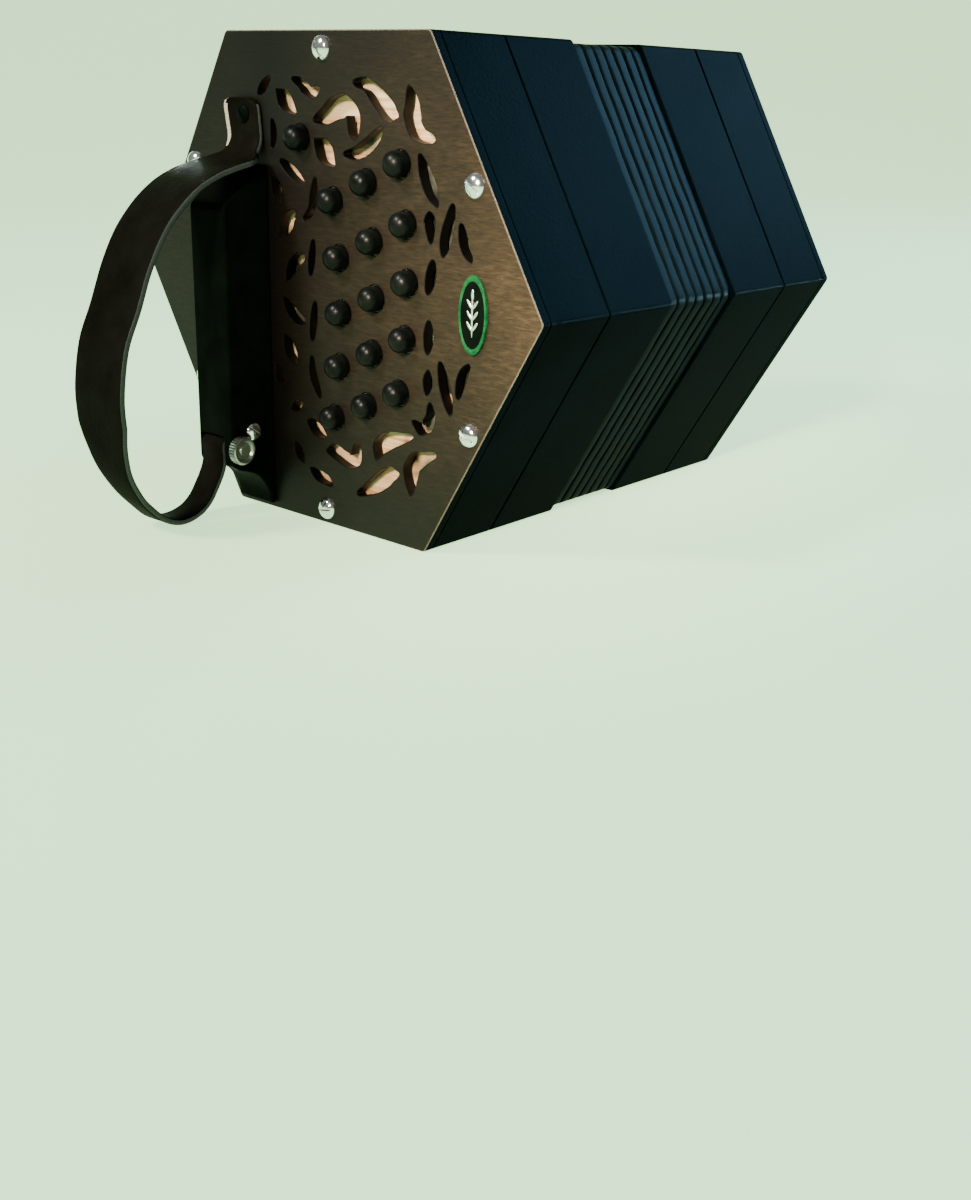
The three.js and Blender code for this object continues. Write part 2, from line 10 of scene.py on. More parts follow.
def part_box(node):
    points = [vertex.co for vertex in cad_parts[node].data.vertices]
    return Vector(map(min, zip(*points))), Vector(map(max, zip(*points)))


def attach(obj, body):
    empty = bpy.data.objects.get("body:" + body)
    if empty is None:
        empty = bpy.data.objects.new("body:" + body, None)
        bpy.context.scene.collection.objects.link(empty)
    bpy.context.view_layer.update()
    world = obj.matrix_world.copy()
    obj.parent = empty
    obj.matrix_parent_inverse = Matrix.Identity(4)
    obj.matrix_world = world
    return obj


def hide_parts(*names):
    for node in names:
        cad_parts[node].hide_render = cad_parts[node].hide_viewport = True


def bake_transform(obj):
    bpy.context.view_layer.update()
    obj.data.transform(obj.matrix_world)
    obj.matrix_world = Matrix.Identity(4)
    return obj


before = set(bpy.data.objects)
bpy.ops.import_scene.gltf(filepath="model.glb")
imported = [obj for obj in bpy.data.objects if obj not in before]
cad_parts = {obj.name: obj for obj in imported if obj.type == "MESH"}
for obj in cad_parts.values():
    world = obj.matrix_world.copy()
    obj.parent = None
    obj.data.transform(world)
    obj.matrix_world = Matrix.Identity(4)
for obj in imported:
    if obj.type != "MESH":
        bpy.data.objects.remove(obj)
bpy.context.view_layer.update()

MM = 0.001
SIDES = ("right", "left")
OUTWARD = {"right": -1, "left": 1}  # the way each end faces along X

# Sizes in millimetres. "Depth" runs inward from the outer face of an end plate, and "out" the other way.
# "Across" runs from the hand rail toward the buttons, and "up" is measured from the hexagon's axis.
APOTHEM = 82.5
HALF_LENGTH = 90
CORNER_RADIUS = 2
PLATE_THICK = 4
PLATE_BEVEL = 0.35
WALL_THICK = 6
BOLT_CIRCLE = 77
BOLT_RADIUS = 4
BUTTON_RADIUS = 4.1
BUTTON_DOME = 3.4
GUIDE_RADIUS = 1.2
RAIL_CENTRE = -36.7
RAIL_WIDTH = 18.3
RAIL_HEIGHT = 20
STRAP_WIDTH = 25.7
STRAP_THICK = 2.2
TONGUE_START = 41.5
TONGUE_END = 61
TONGUE_WIDTH = 16.8
TONGUE_LEAN = 3
TAPER_START = -42
TAIL_START = -71
TAIL_CENTRE = -38.2
TAIL_WIDTH = 11.6
SLOT_OUT = 12
SLOT_TOP = -53.3
PIN_OUT = 17
PIN_UP = -57.5
PIN_RADIUS = 1.4
STRAP_SCREW_UP = 56
STRAP_STILL = 40  # length at both ends of the strap that doesn't ripple
TONGUE_CORNER = 3.5
TONGUE_STRIPE = 3.2  # width of the pale stripe, a painted highlight along the tongue's left edge
RAIL_SCREW_UP = -52
FIT_GAP = 0.3  # between pieces that touch
FOLDS = 7
FOLD_PEAK = 81.5
RIDGE_WIDTH = 5.0
RIDGE_DEPTH = 2.7
RIDGE_CORNER = 4.5  # radius of a ridge round the hexagon's corners
LEG_INSET = 1.2
LEG_TUCK = 1.5  # how far a pleat starts below the outer face of a ridge
LEG_DROP = 18
LEG_THICK = 2.0
LEG_CORNER = 2.5
GUSSET_LIFT = 0.75  # share of the drop that the corner gussets don't have
END_CARD_INNER = 61.5
END_CARD_OUTER = 76.3
END_CARD_THICK = 1.2
END_CARD_OVERLAP = 1.4  # how far it reaches into the bellows frame

ARC_STEPS = 6  # on each corner of the bellows' hexagons
LEG_SIDE_STEPS = 6
RIDGE_SIDE_STEPS = 28
CAMERA_HEADING = 49.31  # degrees from +Y toward +X
FLOOR_COLOR = (0.62, 0.95, 0.52)
FLOOR_GLOW = 1.75  # evens out the pale floor and backdrop
FLOOR_REACH = 5.0  # metres
FLOOR_BEND = 3.5  # radius of the curve up into the backdrop, in metres
BACKDROP_TOP = 5.0

# Middle line of the hand strap, as (height out from the plate, up), from its tail to its tongue
STRAP_LINE = [
    (19.8, -57.5), (19.5, -61), (20.2, -65.4), (23.2, -71), (27.3, -76.6), (32.7, -80), (40, -81),
    (46.6, -78.5), (52, -73.8), (57.4, -67.8), (62.6, -59.3), (65.6, -50), (67.1, -40), (67.1, -30),
    (64.4, -16.2), (58.8, -3.7), (53.6, 8.3), (48.2, 18), (40.8, 26.4), (32.5, 32.8), (24.1, 36.8),
    (15.5, 39.2), (8, 41), (3.8, 43.4), (1.6, 48), (1.35, 54), (1.35, 61),
]


# ---------------- geometry

def end_point(side, depth, across, up):
    """A point given from the outer face of an end plate, in the row frame."""
    return Vector((OUTWARD[side] * (HALF_LENGTH - depth), -across, APOTHEM + up)) * MM


def node_depths(side, name):
    """The depths at which a CAD node of one end starts and stops."""
    low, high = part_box(f"{side}_{name}")
    near, far = sorted((abs(low.x), abs(high.x)), reverse=True)
    return HALF_LENGTH - near / MM, HALF_LENGTH - far / MM


def node_centre(name):
    """The middle of a CAD node, as (across, up)."""
    low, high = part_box(name)
    middle = (low + high) / 2 / MM
    return -middle.y, middle.z - APOTHEM


def grid_faces(rows, columns, wrap_rows=False, wrap_columns=True):
    """Quads over points that are listed row by row."""
    faces = []
    for row in range(rows if wrap_rows else rows - 1):
        for column in range(columns if wrap_columns else columns - 1):
            next_row = (row + 1) % rows
            next_column = (column + 1) % columns
            faces.append((
                row * columns + column,
                row * columns + next_column,
                next_row * columns + next_column,
                next_row * columns + column,
            ))
    return faces


def rounded(outline, radius, steps, closed=True):
    """An outline with its corners turned into short curves."""
    points = [Vector(point) for point in outline]
    result = []
    for index, corner in enumerate(points):
        if not closed and index in (0, len(points) - 1):
            result.append(corner)
            continue
        before = points[index - 1] - corner
        after = points[(index + 1) % len(points)] - corner
        start = corner + before.normalized() * min(radius, before.length * 0.45)
        end = corner + after.normalized() * min(radius, after.length * 0.45)
        for step in range(steps + 1):
            t = step / steps
            result.append(start * (1 - t) ** 2 + corner * 2 * t * (1 - t) + end * t ** 2)
    return result


def smooth_line(points, steps, closed=False):
    """Points along a Catmull-Rom curve through the given points."""
    points = [Vector(point) for point in points]
    count = len(points)
    result = []
    for index in range(count if closed else count - 1):
        if closed:
            a, b, c, d = (points[(index + offset) % count] for offset in (-1, 0, 1, 2))
        else:
            a, b, c, d = (points[min(max(index + offset, 0), count - 1)] for offset in (-1, 0, 1, 2))
        for step in range(steps):
            t = step / steps
            result.append(0.5 * (2 * b + (c - a) * t + (2 * a - 5 * b + 4 * c - d) * t ** 2
                                 + (3 * b - a - 3 * c + d) * t ** 3))
    return result if closed else result + [points[-1]]


def hexagon_ring(apothem, corner_radius, arc_steps, side_steps=1):
    """Points (across, up) round a hexagon that has two corners on the across axis."""
    reach = (apothem - corner_radius) / math.cos(math.pi / 6)
    arcs = []
    for corner in range(6):
        heading = corner * math.pi / 3
        centre = Vector((math.cos(heading), math.sin(heading))) * reach
        arc = []
        for step in range(arc_steps + 1):
            angle = heading + (step / arc_steps - 0.5) * math.pi / 3
            arc.append(centre + Vector((math.cos(angle), math.sin(angle))) * corner_radius)
        arcs.append(arc)
    ring = []
    for corner, arc in enumerate(arcs):
        ring += arc
        following = arcs[(corner + 1) % 6][0]
        ring += [arc[-1].lerp(following, step / side_steps) for step in range(1, side_steps)]
    return ring


def circle(sides):
    """The (cosine, sine) pairs round a circle."""
    angles = [2 * math.pi * step / sides for step in range(sides)]
    return [(math.cos(angle), math.sin(angle)) for angle in angles]


def turned(profile, sides, grip=0, grips=0):
    """Local points and faces of a piece turned on the z axis, from (radius, z) pairs that start and stop
    on it. Pairs with a third value are cut with grips round the rim."""
    rows = profile[1:-1]
    points = []
    for radius, height, *cut in rows:
        for step in range(sides):
            angle = 2 * math.pi * step / sides
            depth = grip * (0.5 + 0.5 * math.cos(grips * angle)) if cut else 0
            reach = radius - depth
            points.append(Vector((reach * math.cos(angle), reach * math.sin(angle), height)))
    faces = grid_faces(len(rows), sides)
    first, last = len(points), len(points) + 1
    points += [Vector((0, 0, profile[0][1])), Vector((0, 0, profile[-1][1]))]
    base = (len(rows) - 1) * sides
    for step in range(sides):
        following = (step + 1) % sides
        faces.append((first, following, step))
        faces.append((last, base + step, base + following))
    return points, faces


def dome(radius, height, steps):
    """Profile of a dome that stands on z = 0, from its top to its rim."""
    angles = [math.pi / 2 * step / steps for step in range(steps + 1)]
    return [(radius * math.sin(angle), height * math.cos(angle)) for angle in angles]


def slotted_head(radius, height, slot_width, slot_floor):
    """A domed screw head that stands on z = 0, with a slot along its y axis."""
    points, faces = turned(dome(radius, height, 10) + [(radius, -0.3), (0, -0.3)], 40)
    mesh = bpy.data.meshes.new("head")
    mesh.from_pydata(points, [], faces)
    work = bmesh.new()
    work.from_mesh(mesh)
    bpy.data.meshes.remove(mesh)
    half = slot_width / 2
    wall = 0.04  # the sides of the slot lean this much
    for edge in (-half, wall - half, half - wall, half):
        bmesh.ops.bisect_plane(work, geom=work.verts[:] + work.edges[:] + work.faces[:],
                               plane_co=(edge, 0, 0), plane_no=(1, 0, 0))
    for vertex in work.verts:
        if abs(vertex.co.x) < half - wall / 2:
            vertex.co.z = min(vertex.co.z, slot_floor)
    work.verts.index_update()
    points = [vertex.co.copy() for vertex in work.verts]
    faces = [[vertex.index for vertex in face.verts] for face in work.faces]
    work.free()
    return points, faces


# ---------------- pieces

def add_to_scene(name, data):
    """A new object in the scene."""
    made = bpy.data.objects.new(name, data)
    bpy.context.scene.collection.objects.link(made)
    return made


def make_piece(name, points, faces, materials, body, sharp_angle=40, choose=None):
    """A new object from points in the row frame, in metres, riding on a body unless that is None."""
    mesh = bpy.data.meshes.new(name)
    mesh.from_pydata(points, [], faces)
    work = bmesh.new()
    work.from_mesh(mesh)
    bmesh.ops.recalc_face_normals(work, faces=work.faces)
    work.to_mesh(mesh)
    work.free()
    for material in materials:
        mesh.materials.append(material)
    if choose:
        for polygon in mesh.polygons:
            polygon.material_index = choose(polygon.center, polygon.normal)
    mesh.shade_smooth()
    mesh.set_sharp_from_angle(angle=math.radians(sharp_angle))
    piece = add_to_scene(name, mesh)
    if body:
        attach(piece, body)
    return piece


def weight_normals(piece):
    """Keeps flat faces flat beside rounded edges."""
    modifier = piece.modifiers.new("weighted_normals", "WEIGHTED_NORMAL")
    modifier.keep_sharp = True
    modifier.weight = 80


def bevel_edges(piece, width):
    """Softens a piece's sharp edges."""
    modifier = piece.modifiers.new("bevel", "BEVEL")
    modifier.width = width * MM
    modifier.segments = 3
    modifier.limit_method = "ANGLE"
    modifier.angle_limit = math.radians(40)
    modifier.harden_normals = False
    weight_normals(piece)


def finish_node(name, material, bevel=0.0):
    """Gives a CAD node that is shown as it is its material, and softened edges if a width is given."""
    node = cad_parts[name]
    node.data.materials.clear()
    node.data.materials.append(material)
    weld = node.modifiers.new("weld", "WELD")
    weld.merge_threshold = 1e-6
    if bevel:
        bevel_edges(node, bevel)


def on_end(side, depth, across, up, spin=0.0):
    """The matrix that turns local z to point straight out of an end and sets it down at a point."""
    place = end_point(side, depth, across, up)
    turn = Vector((OUTWARD[side], 0, 0)).to_track_quat("Z", "Y").to_matrix().to_4x4()
    return Matrix.Translation(place) @ turn @ Matrix.Rotation(spin, 4, "Z") @ Matrix.Scale(MM, 4)


def across_end(place, spin=0.0):
    """The matrix that turns local z to point from the rail toward the buttons, at a place."""
    turn = Vector((0, -1, 0)).to_track_quat("Z", "Y").to_matrix().to_4x4()
    return Matrix.Translation(place) @ turn @ Matrix.Rotation(spin, 4, "Z") @ Matrix.Scale(MM, 4)


# ---------------- materials

class Finish:
    """A material on a Principled shader, with short calls for the nodes that feed it."""

    def __init__(self, name, **sockets):
        self.material = bpy.data.materials.new(name)
        self.material.use_nodes = True
        self.tree = self.material.node_tree
        self.shader = self.tree.nodes["Principled BSDF"]
        for socket, value in sockets.items():
            self.shader.inputs[socket.replace("_", " ")].default_value = value
        self.place = self.node("ShaderNodeTexCoord").outputs["Object"]

    def node(self, kind, **inputs):
        """A new node with values, or other nodes' results, in its inputs."""
        made = self.tree.nodes.new(kind)
        for key, value in inputs.items():
            self.plug(made.inputs[key.replace("_", " ")], value)
        return made

    def plug(self, socket, value):
        """Feeds an input from another node's result, or sets it to a value."""
        if isinstance(value, bpy.types.NodeSocket):
            self.tree.links.new(value, socket)
        else:
            socket.default_value = value

    def stretched(self, x, y, z):
        """The place on the piece with each axis scaled; a small scale draws a texture out along its axis."""
        return self.node("ShaderNodeMapping", Vector=self.place, Scale=(x, y, z)).outputs["Vector"]

    def noise(self, scale, detail, roughness, place=None, distortion=0.0):
        """Cloudy noise around 0.5."""
        made = self.node("ShaderNodeTexNoise", Vector=place or self.place, Scale=scale, Detail=detail,
                         Roughness=roughness, Distortion=distortion)
        return made.outputs["Fac"]

    def cells(self, scale):
        """The distance from the middle of the nearest cell, for leather grain."""
        return self.node("ShaderNodeTexVoronoi", Vector=self.place, Scale=scale).outputs["Distance"]

    def ramp(self, value, *stops):
        """A color that runs through (position, color or gray) stops as a value rises."""
        made = self.node("ShaderNodeValToRGB", Fac=value)
        ramp = made.color_ramp
        while len(ramp.elements) < len(stops):
            ramp.elements.new(1.0)
        for element, (position, color) in zip(ramp.elements, stops):
            element.position = position
            element.color = (*color, 1) if isinstance(color, tuple) else (color, color, color, 1)
        return made.outputs["Color"]

    def mix(self, factor, a, b, blend="MIX"):
        """Color a turned toward color b, or blended with it another way."""
        made = self.tree.nodes.new("ShaderNodeMix")
        made.data_type = "RGBA"
        made.blend_type = blend
        self.plug(made.inputs[0], factor)
        self.plug(made.inputs[6], a if isinstance(a, bpy.types.NodeSocket) else (*a, 1))
        self.plug(made.inputs[7], b if isinstance(b, bpy.types.NodeSocket) else (*b, 1))
        return made.outputs[2]

    def math(self, operation, a, b=0.0):
        """The result of a math operation on two values."""
        made = self.tree.nodes.new("ShaderNodeMath")
        made.operation = operation
        self.plug(made.inputs[0], a)
        self.plug(made.inputs[1], b)
        return made.outputs[0]

    def weighted(self, *pairs):
        """The sum of values times their weights, from (value, weight) pairs."""
        terms = [value if weight == 1 else self.math("MULTIPLY", value, weight) for value, weight in pairs]
        total = terms[0]
        for term in terms[1:]:
            total = self.math("ADD", total, term)
        return total

    def scaled(self, value, low, high):
        """A value that runs from 0 to 1, spread over low to high."""
        return self.node("ShaderNodeMapRange", Value=value, To_Min=low, To_Max=high).outputs["Result"]

    def ranged(self, value, low, high):
        """A value that runs from low to high, brought to 0 to 1."""
        return self.node("ShaderNodeMapRange", Value=value, From_Min=low, From_Max=high).outputs["Result"]

    def along(self, axis):
        """One coordinate of the place on the piece, in metres."""
        return self.node("ShaderNodeSeparateXYZ", Vector=self.place).outputs[axis]

    def set(self, **sockets):
        """Feeds the shader's inputs."""
        for socket, value in sockets.items():
            self.plug(self.shader.inputs[socket.replace("_", " ")], value)

    def bumped(self, height, distance, strength):
        """The finished material, with its surface bumped by a height."""
        bump = self.node("ShaderNodeBump", Height=height, Distance=distance, Strength=strength)
        self.set(Normal=bump.outputs["Normal"])
        return self.material


def shaded(color, brightness):
    """A color made darker or lighter."""
    return tuple(part * brightness for part in color)


def walnut(name, brightness):
    """Open-grained dark wood, mottled, with short pores along Y. Painted light makes it palest toward the
    button side; painted shadow makes it nearly black beside the rail, and painted shade darkens it toward
    its foot and top."""
    finish = Finish(name, Specular_IOR_Level=0.15)
    mottle = finish.noise(90, 5, 0.7, finish.stretched(1, 0.5, 1), 0.7)
    streaks = finish.noise(900, 4, 0.7, finish.stretched(1, 0.16, 1))
    pores = finish.noise(1900, 2, 0.5, finish.stretched(1, 0.14, 1))
    tone = finish.weighted((mottle, 0.3), (streaks, 0.7))
    color = finish.ramp(tone, (0.36, shaded((0.022, 0.0145, 0.0075), brightness)),
                        (0.5, shaded((0.036, 0.0238, 0.0122), brightness)),
                        (0.62, shaded((0.058, 0.039, 0.021), brightness)))
    dark_pores = finish.ramp(pores, (0.36, 0.5), (0.52, 1.0))
    color = finish.mix(0.6, color, dark_pores, "MULTIPLY")
    # Painted light across the plate: palest at the button-side edge, with a painted shadow nearly black
    # beside the rail.
    wear_and_painted_light = finish.ramp(finish.ranged(finish.along("Y"), -0.095, 0.095), (0, 0.66), (0.16, 0.34), (0.4, 0.2),
                       (0.56, 0.11), (0.64, 0.03), (0.74, 0.12))
    color = finish.mix(1.0, color, wear_and_painted_light, "MULTIPLY")
    # Painted shade toward the plate's foot, and a little toward its top.
    painted_shade_by_height = finish.ramp(finish.ranged(finish.along("Z"), 0, 2 * APOTHEM * MM), (0.05, 0.25), (0.45, 1.0),
                        (0.6, 1.0), (0.95, 0.72))
    color = finish.mix(1.0, color, painted_shade_by_height, "MULTIPLY")
    finish.set(Base_Color=color, Roughness=finish.scaled(streaks, 0.55, 0.38))
    height = finish.weighted((pores, 1), (streaks, 0.5))
    return finish.bumped(height, 0.00012, 0.5)


def baffle_wood(name):
    """The sheet behind the scrolls: its pale wood shows at its ends and beside the rail, and painted shade,
    gray-green and nearly black, lies in blotches between."""
    finish = Finish(name, Roughness=0.6, Specular_IOR_Level=0.1)
    grain = finish.noise(700, 3, 0.6, finish.stretched(1, 0.05, 1))
    blotches = finish.noise(38, 3, 0.55)
    up = finish.math("ABSOLUTE", finish.math("SUBTRACT", finish.along("Z"), APOTHEM * MM))
    # Painted light and shade: the wood shows pale toward the ends and the rail side, painted shade
    # elsewhere.
    painted_light_mask = finish.weighted((up, 8), (blotches, 0.9), (finish.along("Y"), 3))
    wood = finish.ramp(grain, (0.35, (0.3, 0.15, 0.07)), (0.5, (0.42, 0.27, 0.15)),
                       (0.66, (0.48, 0.37, 0.23)))
    lit_share = finish.ramp(painted_light_mask, (0.62, 0.0), (0.7, 1.0))
    # Painted shade, from nearly black to gray-green.
    painted_shade_color = finish.ramp(finish.noise(60, 3, 0.5), (0.42, (0.006, 0.006, 0.004)),
                        (0.6, (0.06, 0.065, 0.047)))
    color = finish.mix(lit_share, painted_shade_color, wood)
    finish.set(Base_Color=color)
    return finish.bumped(grain, 0.0001, 0.5)


def pale_wood(name):
    """Bare pale wood with a warm cast, its grain along Y."""
    finish = Finish(name, Roughness=0.55)
    figure = finish.noise(60, 3, 0.5, finish.stretched(1, 0.3, 1), 0.4)
    grain = finish.noise(700, 3, 0.6, finish.stretched(1, 0.05, 1))
    tone = finish.weighted((figure, 0.6), (grain, 0.4))
    color = finish.ramp(tone, (0.35, (0.5, 0.27, 0.15)), (0.5, (0.72, 0.47, 0.3)), (0.66, (0.85, 0.68, 0.5)))
    finish.set(Base_Color=color)
    return finish.bumped(grain, 0.0001, 0.5)


def black_covering(name):
    """Satin black covering with a faint leather grain; the cool blue tint in its colour and reflections is
    painted sheen.
    """
    finish = Finish(name, Specular_IOR_Level=0.0025, Specular_Tint=(0.2, 0.8, 1, 1))
    blotches = finish.noise(45, 3, 0.6)
    pebbles = finish.cells(900)
    creases = finish.noise(700, 3, 0.6)
    color = finish.ramp(blotches, (0.35, (0.0002, 0.0007, 0.0009)), (0.68, (0.0006, 0.0017, 0.0023)))
    finish.set(Base_Color=color, Roughness=finish.scaled(blotches, 0.34, 0.5))
    height = finish.weighted((pebbles, 0.7), (creases, 1))
    return finish.bumped(height, 0.00012, 0.4)


def bellows_leather(name, brightness):
    """Fine black leather, rubbed lighter in places."""
    # The blue specular tint and blue-green base colour paint in a cool sheen.
    finish = Finish(name, Specular_IOR_Level=0.008, Specular_Tint=(0.35, 0.85, 1, 1))
    grain = finish.cells(1600)
    rubs = finish.noise(110, 4, 0.65)
    color = finish.ramp(rubs, (0.35, shaded((0.0008, 0.002, 0.0026), brightness)),
                        (0.7, shaded((0.003, 0.006, 0.008), brightness)))
    finish.set(Base_Color=color, Roughness=finish.scaled(rubs, 0.34, 0.52))
    wrinkles = finish.noise(350, 3, 0.6)
    height = finish.weighted((grain, 0.5), (wrinkles, 1))
    return finish.bumped(height, 0.00015, 0.5)


def gloss_black(name):
    """Black lacquer over wood, with faint dust and hairline scratches."""
    # The green specular tint and greenish base colour paint in a greenish reflection.
    finish = Finish(name, Specular_IOR_Level=0.006, Specular_Tint=(0.5, 1, 0.8, 1))
    haze = finish.noise(90, 4, 0.6)
    scratches = finish.noise(900, 2, 0.5, finish.stretched(1, 1, 0.05))
    color = finish.ramp(haze, (0.3, (0.0006, 0.0012, 0.0008)), (0.75, (0.002, 0.0035, 0.0025)))
    finish.set(Base_Color=color, Roughness=finish.scaled(finish.math("ADD", haze, scratches), 0.16, 0.4))
    return finish.bumped(scratches, 0.00003, 0.25)


def button_plastic(name):
    """Polished black plastic, slightly worn."""
    finish = Finish(name, Specular_IOR_Level=0.07)
    wear_and_painted_light = finish.noise(300, 3, 0.6)
    finish.set(Base_Color=finish.ramp(wear_and_painted_light, (0.3, (0.0008, 0.0012, 0.001)), (0.8, (0.003, 0.004, 0.0035))),
               Roughness=finish.scaled(wear_and_painted_light, 0.28, 0.4))
    return finish.bumped(wear_and_painted_light, 0.00001, 0.2)


def strap_leather(name):
    """Black strap leather, with grain, wrinkles and rubbed patches."""
    finish = Finish(name, Specular_IOR_Level=0.005)
    grain = finish.cells(1100)
    wrinkles = finish.noise(420, 4, 0.65)
    rubs = finish.noise(60, 4, 0.6)
    color = finish.ramp(rubs, (0.35, (0.0018, 0.0018, 0.0011)), (0.72, (0.0048, 0.0047, 0.0033)))
    finish.set(Base_Color=color, Roughness=finish.scaled(rubs, 0.36, 0.55))
    height = finish.weighted((grain, 0.6), (wrinkles, 1))
    return finish.bumped(height, 0.00022, 0.6)


def raw_edge_and_highlight(name, color):
    """Cut leather or wood edge, paler than the face and slightly fibrous; on the strap's tongue, a painted
    highlight.
    """
    finish = Finish(name, Roughness=0.8)
    fibres = finish.noise(1300, 3, 0.7)
    finish.set(Base_Color=finish.ramp(fibres, (0.35, shaded(color, 0.45)), (0.62, color)))
    return finish.bumped(fibres, 0.0001, 0.6)


def metal(name, color, roughness):
    """Smudged metal, about as rough as the roughness given."""
    finish = Finish(name, Metallic=1.0)
    smudges = finish.noise(240, 4, 0.6)
    finish.set(Base_Color=finish.ramp(smudges, (0.3, shaded(color, 0.72)), (0.6, color)),
               Roughness=finish.scaled(smudges, roughness * 0.6, roughness * 1.7))
    return finish.bumped(smudges, 0.00003, 0.3)


def felt(name, color):
    """Fuzzy felt."""
    finish = Finish(name, Roughness=0.95, Sheen_Weight=0.3)
    fuzz = finish.noise(1800, 4, 0.8)
    finish.set(Base_Color=finish.ramp(fuzz, (0.3, shaded(color, 0.5)), (0.65, color)))
    return finish.bumped(fuzz, 0.0002, 0.8)


def enamel(name, dark, pale, gloss):
    """Enamel with a clouded color, glossy or dull."""
    finish = Finish(name, Specular_IOR_Level=gloss)
    cloud = finish.noise(260, 3, 0.6)
    finish.set(Base_Color=finish.ramp(cloud, (0.3, dark), (0.7, pale)),
               Roughness=finish.scaled(cloud, 0.18, 0.34))
    return finish.bumped(cloud, 0.00005, 0.3)


def plain_floor(name, color):
    """A plain matte floor that glows a little, with a barely visible unevenness."""
    finish = Finish(name, Roughness=0.9, Specular_IOR_Level=0.1, Emission_Color=(*color, 1),
                    Emission_Strength=FLOOR_GLOW)
    cloud = finish.noise(3, 2, 0.5)
    reflected = finish.ramp(cloud, (0.3, shaded(color, 0.33)), (0.7, shaded(color, 0.35)))
    finish.set(Base_Color=reflected)
    return finish.material


WALNUT = walnut("walnut", 1.0)
# A darker copy of the walnut paints shade on the walls of the scrolls.
WALNUT_PAINTED_SHADE = walnut("walnut_painted_shade_in_scrolls", 0.08)
PALE_WOOD = pale_wood("pale_wood")
BAFFLE_WOOD = baffle_wood("baffle_wood")
PALE_EDGE = raw_edge_and_highlight("plate_edge", (0.075, 0.055, 0.032))
COVERING = black_covering("black_covering")
BELLOWS_LEATHER = bellows_leather("bellows_leather", 0.6)
# The pleats' card is a darker copy of the bellows leather: painted shade in the valleys between the ridges.
BELLOWS_CARD_PAINTED_SHADE = bellows_leather("bellows_card", 0.4)
GLOSS_BLACK = gloss_black("gloss_black_wood")
BUTTON_BLACK = button_plastic("button_plastic")
STRAP_LEATHER = strap_leather("strap_leather")
STRAP_EDGE = raw_edge_and_highlight("strap_edge", (0.022, 0.03, 0.032))
# A pale cream stripe on the tongue's rolled left edge: a painted highlight.
TONGUE_PAINTED_HIGHLIGHT = raw_edge_and_highlight("tongue_painted_highlight", (0.42, 0.35, 0.25))
CHROME = metal("chrome", (0.86, 0.87, 0.88), 0.12)
NICKEL = metal("dull_nickel", (0.3, 0.31, 0.3), 0.3)
BRASS = metal("brass", (0.72, 0.52, 0.25), 0.3)
GREY_FELT = felt("grey_felt", (0.42, 0.4, 0.36))
GREEN_ENAMEL = enamel("green_enamel", (0.002, 0.022, 0.008), (0.006, 0.065, 0.02), 0.03)
BADGE_FIELD = enamel("badge_field", (0.0006, 0.0014, 0.0009), (0.0015, 0.003, 0.002), 0.01)
SILVER = metal("badge_silver", (0.75, 0.77, 0.74), 0.25)


# ---------------- ends

def plate_outlines(side):
    """Outlines on the outer face of an end plate, read off its CAD node, as lists of (across, up) points."""
    work = bmesh.new()
    work.from_mesh(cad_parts[f"{side}_end_plate"].data)
    bmesh.ops.remove_doubles(work, verts=work.verts, dist=1e-6)
    work.verts.index_update()
    links = {}
    for edge in work.edges:
        outer = [face for face in edge.link_faces if face.normal.x * OUTWARD[side] > 0.9]
        if len(outer) == 1:
            first, second = (vertex.index for vertex in edge.verts)
            links.setdefault(first, []).append(second)
            links.setdefault(second, []).append(first)
    work.verts.ensure_lookup_table()
    places = {index: work.verts[index].co / MM for index in links}
    work.free()
    outlines = []
    while links:
        loop = [min(links)]
        while True:
            following = [index for index in links.pop(loop[-1]) if index in links]
            if not following:
                break
            loop.append(following[0])
        outlines.append([Vector((-places[index].y, places[index].z - APOTHEM)) for index in loop])
    return outlines


def finer_outline(outline):
    """The same outline, smooth: a hexagon for the rim, a circle for a button, a curve for a scroll."""
    centre = sum(outline, Vector((0, 0))) / len(outline)
    distances = [(point - centre).length for point in outline]
    is_rim = min(distances) > APOTHEM - 1
    is_round = max(distances) - min(distances) < 0.05
    if is_rim:
        return hexagon_ring(APOTHEM, CORNER_RADIUS, 8)
    if is_round:
        return [centre + Vector(around) * max(distances) for around in circle(44)]
    return smooth_line(outline, 5, closed=True)


def pierced_sheet(side):
    """Points and faces of an end plate with its openings, beveled round every edge."""
    curve = bpy.data.curves.new("outlines", "CURVE")
    curve.dimensions = "2D"
    curve.fill_mode = "BOTH"
    curve.extrude = PLATE_THICK / 2 - PLATE_BEVEL
    curve.bevel_depth = PLATE_BEVEL
    curve.bevel_resolution = 1
    curve.offset = -PLATE_BEVEL
    for outline in plate_outlines(side):
        fine = finer_outline(outline)
        spline = curve.splines.new("POLY")
        spline.points.add(len(fine) - 1)
        for point, (across, up) in zip(spline.points, fine):
            point.co = (across, up, 0, 1)
        spline.use_cyclic_u = True
    drawn = add_to_scene("outlines", curve)
    ready = drawn.evaluated_get(bpy.context.evaluated_depsgraph_get())
    work = bmesh.new()
    work.from_mesh(bpy.data.meshes.new_from_object(ready))
    bmesh.ops.remove_doubles(work, verts=work.verts, dist=1e-4)
    work.verts.index_update()
    points = [end_point(side, PLATE_THICK / 2 - v.co.z, v.co.x, v.co.y) for v in work.verts]
    faces = [[vertex.index for vertex in face.verts] for face in work.faces]
    work.free()
    bpy.data.objects.remove(drawn)
    return points, faces


